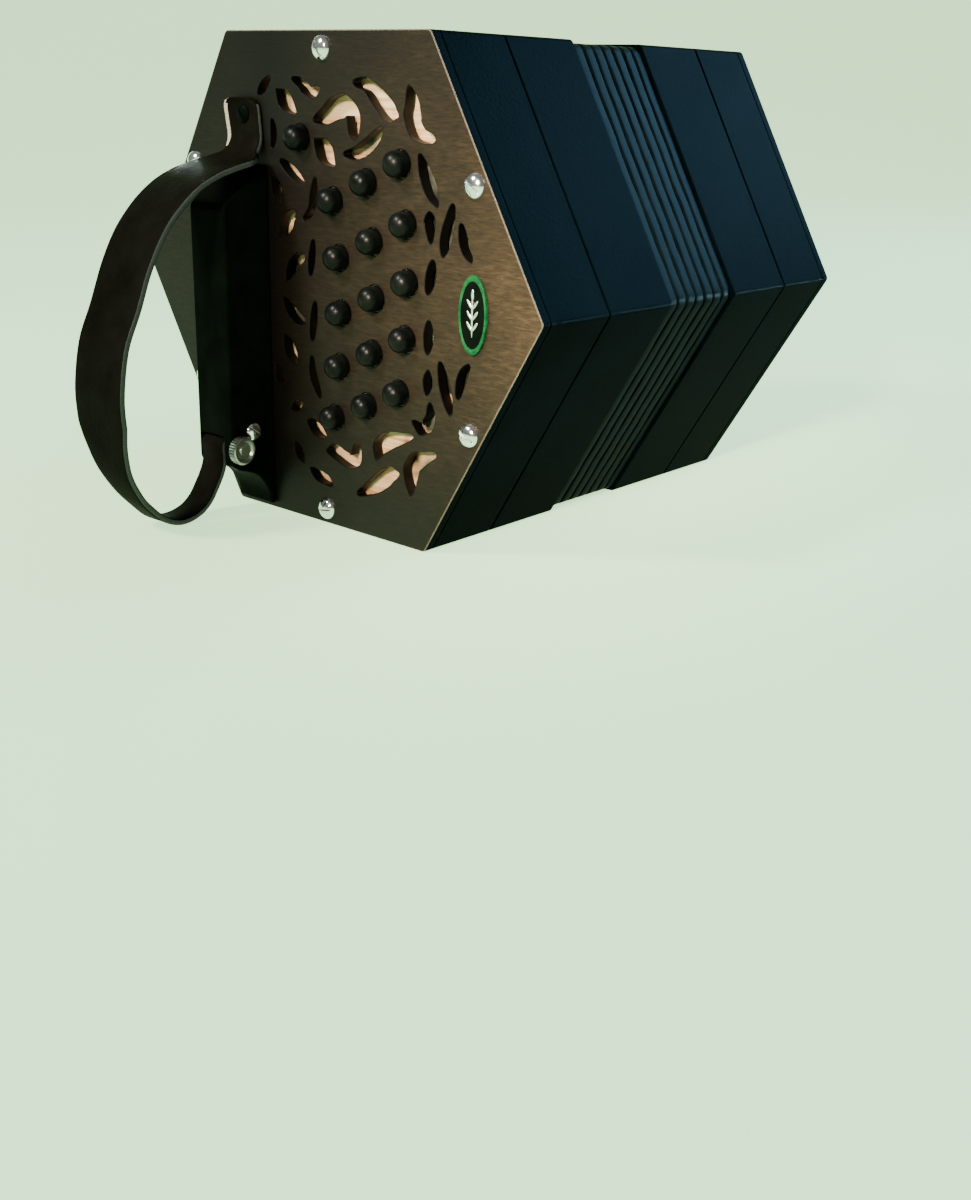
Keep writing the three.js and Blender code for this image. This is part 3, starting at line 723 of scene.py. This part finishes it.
def end_plate(side):
    """The pierced plate: varnished face, thin pale front edge, black sides, and painted shade on the walls
    of the scrolls.
    """
    points, faces = pierced_sheet(side)

    def choose(centre, normal):
        facing = normal.x * OUTWARD[side]
        from_axis = Vector((centre.y / MM, centre.z / MM - APOTHEM))
        turn = math.atan2(from_axis.y, from_axis.x) % (math.pi / 3) - math.pi / 6
        apothem_here = from_axis.length * max(math.cos(turn), math.cos(abs(turn) - math.pi / 3))
        if facing > 0.99:
            return 0
        if apothem_here > APOTHEM - 1.5:
            return 1 if facing > 0.2 else 2
        # The walls of the scrolls take the darker walnut, which is painted shade.
        return 3

    plate = make_piece(f"{side}_pierced_plate", points, faces, [WALNUT, PALE_EDGE, COVERING, WALNUT_PAINTED_SHADE],
                       f"{side}_end", 35, choose)
    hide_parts(f"{side}_end_plate")
    weight_normals(plate)


def hexagonal_box(side, node):
    """A covered hexagonal ring of wood with softened edges."""
    start, stop = node_depths(side, node)
    section = rounded([
        (APOTHEM, start), (APOTHEM, stop), (APOTHEM - WALL_THICK, stop), (APOTHEM - WALL_THICK, start),
    ], 0.45, 4)
    points = []
    for apothem, depth in section:
        inset = APOTHEM - apothem
        ring = hexagon_ring(apothem, max(CORNER_RADIUS - inset, 1.1), 8, 2)  # a corner never gets sharp
        points += [end_point(side, depth, across, up) for across, up in ring]
    faces = grid_faces(len(section), len(points) // len(section), wrap_rows=True)
    box = make_piece(f"{side}_covered_{node}", points, faces, [COVERING], f"{side}_end")
    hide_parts(f"{side}_{node}")
    weight_normals(box)


def screw(side, name, place, head, material):
    """A screw of which only the slotted head shows, set down on an end."""
    points, faces = head
    make_piece(f"{side}_{name}", [place @ point for point in points], faces, [material], f"{side}_end",
               50)


def end_bolts(side):
    """Six domed slotted bolts round the plate."""
    head = slotted_head(BOLT_RADIUS, height=2.4, slot_width=1.0, slot_floor=1.3)
    spins = random.Random(7)
    for index in range(6):
        angle = math.pi / 6 + index * math.pi / 3
        across, up = BOLT_CIRCLE * math.cos(angle), BOLT_CIRCLE * math.sin(angle)
        place = on_end(side, 0, across, up, spins.uniform(0, math.pi))
        screw(side, f"end_bolt_{index + 1}", place, head, CHROME)


def button_profile(pin_length):
    """Profile of a button on z, from the top of its dome to the end of its pin."""
    top = dome(BUTTON_RADIUS, BUTTON_DOME, 10)
    return top + [
        (BUTTON_RADIUS, -1), (BUTTON_RADIUS, -14), (BUTTON_RADIUS - 0.3, -14.4),
        (GUIDE_RADIUS, -14.4), (GUIDE_RADIUS, 0.3 - pin_length), (0.9, -pin_length), (0, -pin_length),
    ]


def button(side, node):
    """A glossy domed button with its guide pin, on the body of its own name, and its bushing."""
    low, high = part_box(node)
    length = (high.x - low.x) / MM
    proud = max(abs(low.x), abs(high.x)) / MM - HALF_LENGTH
    across, up = node_centre(node)
    points, faces = turned(button_profile(length - BUTTON_DOME), 36)
    place = on_end(side, BUTTON_DOME - proud, across, up)
    piece = make_piece(f"{node}_cap", [place @ point for point in points], faces, [BUTTON_BLACK], node)
    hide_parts(node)
    bushing(side, node)


def bushing(side, node):
    """A thin felt lining round a button's hole."""
    across, up = node_centre(node)
    place = on_end(side, 0.9, across, up)
    inner, outer, bottom = BUTTON_RADIUS + 0.08, BUTTON_RADIUS + 0.27, -2.6
    ring = rounded([(inner, 0), (outer, 0), (outer, bottom), (inner, bottom)], 0.05, 2)
    points = [place @ Vector((radius * x, radius * y, height)) for radius, height in ring
              for x, y in circle(36)]
    faces = grid_faces(len(ring), 36, wrap_rows=True)
    make_piece(f"{node}_bushing", points, faces, [GREY_FELT], f"{side}_end")


def rail_outline(bottom, top):
    """The rail from the side, as (out, up) points in three runs: below its slot, beside it and above it."""
    slot_bottom = bottom + 13.7
    foot = [(2, bottom), (3.3, bottom + 5.6), (7.5, bottom + 11.4), (SLOT_OUT, slot_bottom)]
    below_slot = [Vector((0.2, bottom))] + smooth_line(foot, 5)
    beside_slot = rounded([
        (SLOT_OUT, slot_bottom), (RAIL_HEIGHT - 3, bottom + 15.2), (RAIL_HEIGHT, bottom + 17.5),
        (RAIL_HEIGHT, SLOT_TOP),
    ], 2, 4, closed=False)[1:]
    above_slot = rounded([
        (RAIL_HEIGHT, SLOT_TOP), (RAIL_HEIGHT, 26.5), (RAIL_HEIGHT - 2.5, 28.6), (2, top), (0.2, top),
    ], 2, 4, closed=False)[1:]
    return below_slot, beside_slot, above_slot


def hand_rail(side):
    """The lacquered rail under the strap, drawn down to the plate at both ends, with a slot for the tail."""
    low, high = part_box(f"{side}_hand_rail")
    below_slot, beside_slot, above_slot = rail_outline(low.z / MM - APOTHEM, high.z / MM - APOTHEM)
    outline = below_slot + beside_slot + above_slot
    slot_corner = len(outline)
    floor = len(below_slot) - 1
    ceiling = floor + len(beside_slot)
    slot_half = TAIL_WIDTH / 2
    stations = [RAIL_CENTRE - RAIL_WIDTH / 2, TAIL_CENTRE - slot_half - FIT_GAP,
                TAIL_CENTRE + slot_half + FIT_GAP, RAIL_CENTRE + RAIL_WIDTH / 2]
    ring = outline + [Vector((SLOT_OUT, SLOT_TOP))]
    points = [end_point(side, -out, across, up) for across in stations for out, up in ring]
    full = list(range(slot_corner))
    slotted = full[:floor + 1] + [slot_corner] + full[ceiling:]
    slot_wall = full[floor:ceiling + 1] + [slot_corner]
    faces = []
    for station, loop in enumerate((full, slotted, full)):
        base = station * len(ring)
        for index, following in zip(loop, loop[1:] + loop[:1]):
            here, there = base + index, base + following
            faces.append((here, there, there + len(ring), here + len(ring)))
    for station, loop in enumerate((full, slot_wall, slot_wall, full)):
        faces.append(tuple(station * len(ring) + index for index in loop))
    rail = make_piece(f"{side}_rail", points, faces, [GLOSS_BLACK], f"{side}_end")
    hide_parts(f"{side}_hand_rail")
    bevel_edges(rail, 0.8)


def share(value, start, stop):
    """How far a value has gone from start to stop, eased, between 0 and 1."""
    part = min(max((value - start) / (stop - start), 0), 1)
    return part * part * (3 - 2 * part)


def strap_edges(out, up):
    """The two edges of the strap, as places across, where its middle line passes a point."""
    edges = (RAIL_CENTRE - STRAP_WIDTH / 2, RAIL_CENTRE + STRAP_WIDTH / 2)
    if up < TAPER_START:
        in_slot = out < 2 * RAIL_HEIGHT and up > TAIL_START
        gone = 1 if in_slot else min((TAPER_START - up) / (TAPER_START - TAIL_START), 1)
        tail = (TAIL_CENTRE - TAIL_WIDTH / 2, TAIL_CENTRE + TAIL_WIDTH / 2)
        return tuple(edge + (narrow - edge) * gone for edge, narrow in zip(edges, tail))
    if out < RAIL_HEIGHT / 2:
        gone = share(up, TONGUE_START - 1.5, TONGUE_START + 2.5)
        along = (up - TONGUE_START) / (TONGUE_END - TONGUE_START)
        middle = RAIL_CENTRE - TONGUE_LEAN * along
        half = (TONGUE_WIDTH + (RAIL_WIDTH - TONGUE_WIDTH) * along) / 2
        tongue = (middle - half, middle + half)
        return tuple(edge + (narrow - edge) * gone for edge, narrow in zip(edges, tongue))
    return edges


def strap_section(left, right, roll):
    """Points (across, out) round the strap's section, its outer face rolled off toward both edges."""
    half = STRAP_THICK / 2
    soft = 0.35
    sink = min(0.5 + roll * 0.35, 1.5)
    turns = [math.radians(angle) for angle in (0, 22, 45, 67, 90)]
    rolled = [(roll * (1 - math.cos(turn)), half - sink * (1 - math.sin(turn))) for turn in turns]
    section = [(left + soft, -half), (right - soft, -half), (right, soft - half)]
    section += [(right - inset, out) for inset, out in rolled]
    section += [(right + (left - right) * part, half) for part in (0.3, 0.5, 0.7)]
    section += [(left + inset, out) for inset, out in rolled[::-1]]
    return section + [(left, soft - half)]


def strap_middle():
    """The strap's middle line, from its eye round the thumbscrew to the end of its tongue."""
    pin = Vector((PIN_OUT, PIN_UP))
    eye_radius = PIN_RADIUS + FIT_GAP + STRAP_THICK / 2
    eye_turns = [math.radians(angle) for angle in range(-80, -340, -40)]
    eye = [pin + Vector((math.cos(turn), math.sin(turn))) * eye_radius for turn in eye_turns]
    return smooth_line(eye + STRAP_LINE, 6)


def strap_rows(side):
    """The points round the strap at each place along it, with faint ripples and a rounded tongue."""
    middle = strap_middle()
    lengths = [0]
    for before, after in zip(middle, middle[1:]):
        lengths.append(lengths[-1] + (after - before).length)
    rows = []
    for index, point in enumerate(middle):
        before = middle[max(index - 1, 0)]
        after = middle[min(index + 1, len(middle) - 1)]
        along = (after - before).normalized()
        outward = Vector((along.y, -along.x))
        left, right = strap_edges(*point)
        to_end = lengths[-1] - lengths[index]
        if to_end < TONGUE_CORNER:
            inset = TONGUE_CORNER - math.sqrt(max(TONGUE_CORNER ** 2 - (TONGUE_CORNER - to_end) ** 2, 0))
            left, right = left + inset, right - inset
        roll = 0.8 + 2.4 * share(point.y, TONGUE_START, TONGUE_START + 8) * (point.x < RAIL_HEIGHT / 2)
        ripples = STRAP_STILL < lengths[index] < lengths[-1] - STRAP_STILL
        row = []
        for across, out in strap_section(left, right, roll):
            ripple = noise.noise(Vector((lengths[index] * 0.09, across * 0.12, 9))) * 0.2 if ripples else 0
            shifted = point + outward * (out + ripple)
            row.append(end_point(side, -shifted.x, across, shifted.y))
        rows.append(row)
    return rows


def hand_strap(side):
    """The leather strap: a band with softened edges, raw leather on its edges and a painted highlight along
    its tongue.
    """
    rows = strap_rows(side)
    points = [point for row in rows for point in row]
    columns = len(rows[0])
    faces = grid_faces(len(rows), columns)
    faces += [tuple(range(columns)), tuple(range(len(points) - columns, len(points)))]

    def choose(centre, normal):
        up = centre.z / MM - APOTHEM
        out = abs(centre.x) / MM - HALF_LENGTH
        on_tongue = up > TONGUE_START + 4 and out > 0.5
        # The tongue's left stripe takes the painted highlight.
        if on_tongue and -centre.y / MM < strap_edges(out, up)[0] + TONGUE_STRIPE:
            return 2
        return 1 if abs(normal.y) > 0.8 else 0

    strap = make_piece(f"{side}_strap", points, faces, [STRAP_LEATHER, STRAP_EDGE, TONGUE_PAINTED_HIGHLIGHT],
                       f"{side}_end", 60, choose)
    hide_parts(f"{side}_hand_strap")


def thumbscrew(side):
    """The knurled screw across the rail that holds the strap's tail."""
    node = f"{side}_strap_thumbscrew"
    low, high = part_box(node)
    middle = (low + high) / 2
    length = (high.y - low.y) / MM
    head = 3.4
    radius = (high.z - low.z) / 2 / MM
    profile = [(0, -0.5), (1.5, -0.5), (1.8, -0.9), (3.2, -0.9), (3.7, -0.1), (4.4, 0), (radius - 0.3, -0.3)]
    profile += [(radius, -0.8, 1), (radius, 0.5 - head, 1), (radius - 0.4, 0.1 - head), (3.6, -head)]
    profile += [(PIN_RADIUS, -head), (PIN_RADIUS, -length), (0, -length)]
    points, faces = turned(profile, 128, grip=0.35, grips=32)
    place = across_end((middle.x, low.y, middle.z))
    knurled = make_piece(f"{side}_knurled_screw", [place @ point for point in points], faces, [NICKEL],
                         f"{side}_thumbscrew", 35)
    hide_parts(node)


def small_screws(side):
    """The black screw through the strap's tongue and the domed screw in the rail's side."""
    tongue_face = STRAP_LINE[-1][0] + STRAP_THICK / 2
    place = on_end(side, -tongue_face, RAIL_CENTRE, STRAP_SCREW_UP, 0.6)
    head = slotted_head(3.1, height=1.3, slot_width=0.7, slot_floor=0.5)
    screw(side, "strap_end_screw", place, head, GLOSS_BLACK)
    place = across_end(end_point(side, -RAIL_HEIGHT / 2, RAIL_CENTRE + RAIL_WIDTH / 2, RAIL_SCREW_UP), 0.9)
    head = slotted_head(3.4, height=1.8, slot_width=0.8, slot_floor=0.9)
    screw(side, "rail_screw", place, head, CHROME)


def badge():
    """An oval badge: a green rim round a dark domed field with a plain silver sprig."""
    low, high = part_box("right_badge")
    across, up = node_centre("right_badge")
    half_width, half_height = (high.y - low.y) / 2 / MM, (high.z - low.z) / 2 / MM
    outer = -low.x / MM - HALF_LENGTH
    sides = 72
    section = [(1, 0.2 - outer), (1, -0.25), (0.95, 0), (0.89, -0.02), (0.85, -0.28)]
    section += [(0.83 * (1 - step / 8), -0.3 + 0.14 * math.sin(math.pi / 2 * step / 8)) for step in range(8)]
    points = []
    for reach, height in section:
        for x, y in circle(sides):
            points.append(end_point("right", -(outer + height), across + reach * half_width * x,
                                    up + reach * half_height * y))
    faces = grid_faces(len(section), sides)
    faces += [tuple(range(sides)), tuple(range(len(points) - sides, len(points)))]
    middle = end_point("right", 0, across, up)

    def choose(centre, normal):
        from_middle = (centre - middle) / MM
        reach = math.hypot(from_middle.y / half_width, from_middle.z / half_height)
        return 0 if reach > 0.86 else 1

    oval = make_piece("right_oval_badge", points, faces, [GREEN_ENAMEL, BADGE_FIELD], "right_end",
                      50, choose)
    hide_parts("right_badge")
    sprig(across, up, half_height * 0.55, outer - 0.22)


def sprig(across, up, stem, out):
    """A raised silver stem with three pairs of leaves and one at its tip."""
    leaf_points, leaf_faces = turned(dome(1, 1, 6) + [(0, -0.3)], 24)
    leaves = [(0, 0, 0, 0.35, stem)]  # aside, along the stem, lean, half width, half length
    for row in (-0.5, 0, 0.5):
        for way in (-1, 1):
            leaves.append((way * 1.15, row * stem, -way * math.radians(38), 0.5, 1.8))
    leaves.append((0, stem * 0.95, 0, 0.6, 1.7))
    for index, (aside, along, lean, half_width, half_length) in enumerate(leaves):
        place = on_end("right", -out, across + aside, up + along) @ Matrix.Rotation(lean, 4, "Z")
        shape = Matrix.Diagonal((half_width, half_length, 0.3, 1))
        points = [place @ shape @ point for point in leaf_points]
        make_piece(f"right_badge_leaf_{index + 1}", points, leaf_faces, [SILVER], "right_end")


# ---------------- bellows

def bellows_point(x, across, up):
    """A point of the bellows in the row frame, given in millimetres."""
    return Vector((x, -across, APOTHEM + up)) * MM


def bellows_ridge(index, x):
    """The rounded leather edge of one fold, slightly wavy."""
    half = RIDGE_WIDTH / 2
    section = rounded([(-half, -RIDGE_DEPTH), (-half, 0), (half, 0), (half, -RIDGE_DEPTH)], 0.9, 4)
    points = []
    for along, out in section:
        ring = hexagon_ring(FOLD_PEAK + out, RIDGE_CORNER + out, ARC_STEPS, RIDGE_SIDE_STEPS)
        for step, (across, up) in enumerate(ring):
            wave = noise.noise(Vector((step * 0.35, index * 7.3, 0.5))) * 0.5
            points.append(bellows_point(x + along + wave, across, up))
    faces = grid_faces(len(section), len(points) // len(section), wrap_rows=True)
    ridge = make_piece(f"bellows_ridge_{index}", points, faces, [BELLOWS_LEATHER], f"fold_{index}",
                       60)
    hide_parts(f"bellows_fold_{index}")


def inverse_smoothstep(weight):
    return 0.5 - math.sin(math.asin(1 - 2 * weight) / 3)


def leg_ring(x, drop, inset):
    """The points round a pleat where it has gone in by a share of its drop, less at the gussets."""
    apothem = FOLD_PEAK - LEG_TUCK - LEG_DROP * drop - inset
    lift = GUSSET_LIFT * LEG_DROP * drop
    sides = hexagon_ring(apothem, LEG_CORNER, ARC_STEPS, LEG_SIDE_STEPS)
    gussets = hexagon_ring(apothem + lift, LEG_CORNER, ARC_STEPS, LEG_SIDE_STEPS)
    ring = []
    for step, (side, gusset) in enumerate(zip(sides, gussets)):
        at_corner = step % (ARC_STEPS + LEG_SIDE_STEPS) <= ARC_STEPS
        ring.append(bellows_point(x, *(gusset if at_corner else side)))
    return ring


def bellows_leg(name, start, stop, drops):
    """A pleat of card between two ridges, or a ridge and an end. drops holds (weight, drop) pairs."""
    places = [(start + (stop - start) * inverse_smoothstep(weight), drop) for weight, drop in drops]
    rows = [leg_ring(x, drop, 0) for x, drop in places]
    rows += [leg_ring(x, drop, LEG_THICK) for x, drop in places[::-1]]
    points = [point for row in rows for point in row]
    faces = grid_faces(len(rows), len(rows[0]), wrap_rows=True)
    leg = make_piece(name, points, faces, [BELLOWS_CARD_PAINTED_SHADE], None, 60)
    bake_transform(leg)


def end_card(side, x):
    """The ring of card that closes the bellows against its frame."""
    section = [(END_CARD_INNER, 0), (END_CARD_OUTER, 0),
               (END_CARD_OUTER, END_CARD_THICK), (END_CARD_INNER, END_CARD_THICK)]
    points = []
    for apothem, along in section:
        place = x - OUTWARD[side] * (along - END_CARD_OVERLAP)
        points += [bellows_point(place, across, up) for across, up in hexagon_ring(apothem, 1.5, 4)]
    faces = grid_faces(len(section), len(points) // len(section), wrap_rows=True)
    make_piece(f"{side}_bellows_card", points, faces, [BELLOWS_CARD_PAINTED_SHADE], f"{side}_end")


def bellows():
    """The ridges on their folds, the pleats between them and to both ends, and the cards."""
    places = []
    for index in range(1, FOLDS + 1):
        low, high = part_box(f"bellows_fold_{index}")
        places.append((low.x + high.x) / 2 / MM)
        bellows_ridge(index, places[-1])
    steps = 10
    rising = [(step / steps, step / steps) for step in range(steps + 1)]
    falling = [(weight, 1 - drop) for weight, drop in rising]
    pleat = [(weight / 2, drop) for weight, drop in rising]
    pleat += [(1 - weight, drop) for weight, drop in pleat[-2::-1]]
    for index in range(1, FOLDS):
        bellows_leg(f"bellows_pleat_{index}",
                    places[index - 1] + LEG_INSET, places[index] - LEG_INSET, pleat)
    right_edge = -(HALF_LENGTH - node_depths("right", "bellows_frame")[1])
    inside = 0.5  # how far the first and last pleats reach into the frames
    bellows_leg("bellows_pleat_right",
                right_edge - inside, places[0] - LEG_INSET, falling)
    bellows_leg("bellows_pleat_left",
                places[-1] + LEG_INSET, -right_edge + inside, rising)
    end_card("right", right_edge)
    end_card("left", -right_edge)


# ---------------- camera, light and floor

def camera():
    """The photo's camera, fitted to the corners of the near plate and the far end."""
    data = bpy.data.cameras.new("camera")
    data.lens = 41.22
    data.sensor_width = 36
    data.sensor_fit = "AUTO"
    eye = add_to_scene("camera", data)
    eye.location = (-0.4160, -0.3503, 0.1484)
    eye.rotation_euler = [math.radians(angle) for angle in (69.62, -1.57, -CAMERA_HEADING)]
    bpy.context.scene.camera = eye


def add_lamp(name, kind, place, aim, power, color):
    """A lamp that points at a place. Returns its settings."""
    data = bpy.data.lights.new(name, kind)
    data.energy = power
    data.color = color
    lamp = add_to_scene(name, data)
    lamp.location = place
    lamp.rotation_euler = (Vector(aim) - Vector(place)).to_track_quat("-Z", "Y").to_euler()
    return data


def area_light(name, place, aim, size, power, color):
    """A rectangular soft light."""
    data = add_lamp(name, "AREA", place, aim, power, color)
    data.shape = "RECTANGLE"
    data.size, data.size_y = size


def spot_light(name, place, aim, angle, power, color):
    """A narrow light with a soft edge."""
    data = add_lamp(name, "SPOT", place, aim, power, color)
    data.spot_size = math.radians(angle)
    data.spot_blend = 1.0
    data.shadow_soft_size = 0.09


def backdrop():
    """A pale floor that curves up behind the instrument, square to the camera's heading."""
    start = FLOOR_REACH - FLOOR_BEND
    profile = [(-FLOOR_REACH, 0), (start, 0)]
    for step in range(1, 17):
        angle = math.pi / 2 * step / 16
        profile.append((start + FLOOR_BEND * math.sin(angle), FLOOR_BEND - FLOOR_BEND * math.cos(angle)))
    profile.append((FLOOR_REACH, BACKDROP_TOP))
    turn = math.radians(CAMERA_HEADING)
    heading = Vector((math.sin(turn), math.cos(turn), 0))
    sideways = Vector((heading.y, -heading.x, 0))
    points = []
    for across in (-FLOOR_REACH, FLOOR_REACH):
        points += [heading * along + sideways * across + Vector((0, 0, height)) for along, height in profile]
    mesh = bpy.data.meshes.new("floor")
    mesh.from_pydata(points, [], grid_faces(2, len(profile), wrap_columns=False))
    mesh.materials.append(plain_floor("floor", FLOOR_COLOR))
    mesh.shade_smooth()
    add_to_scene("floor", mesh)


def studio():
    """A dim pale sky, the backdrop, and lamps tinted like the photo's light."""
    world = bpy.data.worlds.new("studio")
    world.use_nodes = True
    background = world.node_tree.nodes["Background"]
    background.inputs["Color"].default_value = (0.82, 0.93, 0.83, 1)
    background.inputs["Strength"].default_value = 0.25
    bpy.context.scene.world = world
    backdrop()
    middle = (0, 0, 0.08)
    area_light("key", (-0.75, 0.3, 0.75), middle, (0.16, 0.16), 22, (1.0, 0.97, 0.92))
    spot_light("front", (-0.75, -0.3, 0.42), (-0.09, -0.085, 0.1), 15, 300, (1.0, 0.84, 0.64))
    area_light("cool_side", (1.2, -0.6, 0.85), middle, (0.9, 0.6), 65, (0.28, 0.66, 1.0))
    spot_light("corner", (0.46, -0.38, 0.06), (-0.01, -0.093, 0.086), 6, 700, (0.45, 0.8, 1.0))
    spot_light("rim", (0.72, 1.2, 0.52), (-0.107, 0.04, 0.121), 2.0, 400, (0.85, 0.95, 1.0))


# ---------------- the instrument

camera()
studio()
for side in SIDES:
    end_plate(side)
    hexagonal_box(side, "action_box")
    hexagonal_box(side, "bellows_frame")
    end_bolts(side)
    for number in range(1, 16):
        button(side, f"{side}_button_{number}")
    hand_rail(side)
    hand_strap(side)
    thumbscrew(side)
    small_screws(side)
    finish_node(f"{side}_baffle", BAFFLE_WOOD)
    finish_node(f"{side}_action_board", PALE_WOOD)
    finish_node(f"{side}_reed_pan", PALE_WOOD)
button("right", "right_air_button")
badge()
finish_node("right_air_lever", BRASS, 0.3)
finish_node("right_air_post", BRASS, 0.2)
finish_node("right_air_pad", GREY_FELT, 0.4)
bellows()
